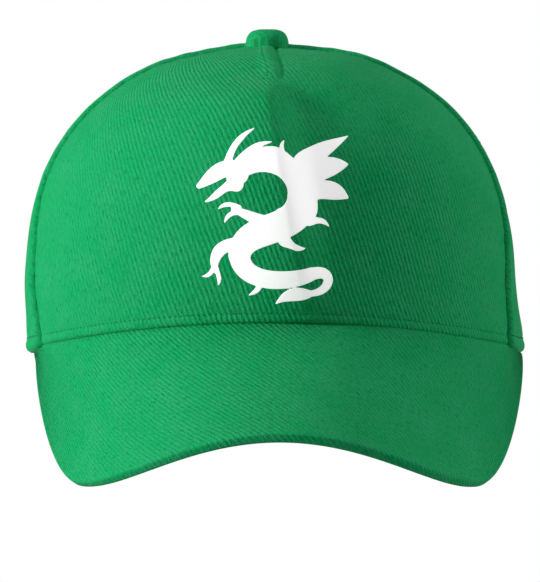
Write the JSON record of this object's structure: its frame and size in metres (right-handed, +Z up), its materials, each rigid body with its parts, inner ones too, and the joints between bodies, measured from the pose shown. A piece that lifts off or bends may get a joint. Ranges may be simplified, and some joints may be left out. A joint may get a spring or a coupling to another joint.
{
  "type": "baseball cap",
  "caption": "Soft cloth baseball cap with a curved visor, a smooth wide front panel with a printed dragon, and a back opening closed by a hook-and-loop strap.",
  "frame": {"origin": "middle of the head opening, level with the rim at the sides", "axes": "+Z up through the crown, the visor points to -Y, +X is the viewer's right when the cap is seen from the front"},
  "size_m": [0.176, 0.2659, 0.1491],
  "materials": {
    "crown_cloth": "brushed cotton twill",
    "visor_cloth": "brushed cotton twill",
    "tape_cloth": "plain woven tape",
    "eyelet_thread": "embroidery thread",
    "backing_cloth": "stiff open-weave buckram",
    "sweatband_cloth": "cotton twill, padded",
    "board_plastic": "matte",
    "button_metal": "stamped, plain",
    "strap_cloth": "twill, folded and stitched",
    "loop_pile": "fuzzy loop pile",
    "hook_plastic": "moulded hooks",
    "print_film": "matte transfer film"
  },
  "bodies": {
    "crown": {"front_panel": "crown_cloth", "side_panel_left": "crown_cloth", "side_panel_right": "crown_cloth", "back_panel_left": "crown_cloth", "back_panel_right": "crown_cloth", "front_panel_backing": "backing_cloth", "front_dart_tape": "tape_cloth", "seam_tape_front_left": "tape_cloth", "seam_tape_front_right": "tape_cloth", "seam_tape_side_left": "tape_cloth", "seam_tape_side_right": "tape_cloth", "seam_tape_back": "tape_cloth", "sweatband": "sweatband_cloth", "visor_board": "board_plastic", "visor_top_cover": "visor_cloth", "visor_under_cover": "visor_cloth", "button_cover": "crown_cloth", "button_shell": "button_metal", "button_stud": "button_metal", "button_washer": "button_metal", "eyelet_side_left": "eyelet_thread", "eyelet_side_right": "eyelet_thread", "eyelet_back_left": "eyelet_thread", "eyelet_back_right": "eyelet_thread", "back_opening_binding": "tape_cloth", "loop_strap": "strap_cloth", "loop_patch": "loop_pile", "strap_root": "strap_cloth", "front_print": "print_film"},
    "strap": {"strap_flap": "strap_cloth", "hook_patch": "hook_plastic"}
  },
  "joints": [
    {"name": "strap_peel", "type": "hinge", "parent": "crown", "child": "strap", "pos_m": [-0.03272, 0.09008, 0.015], "axis": [0, 0, 1], "range_deg": [0, 90]}
  ]
}
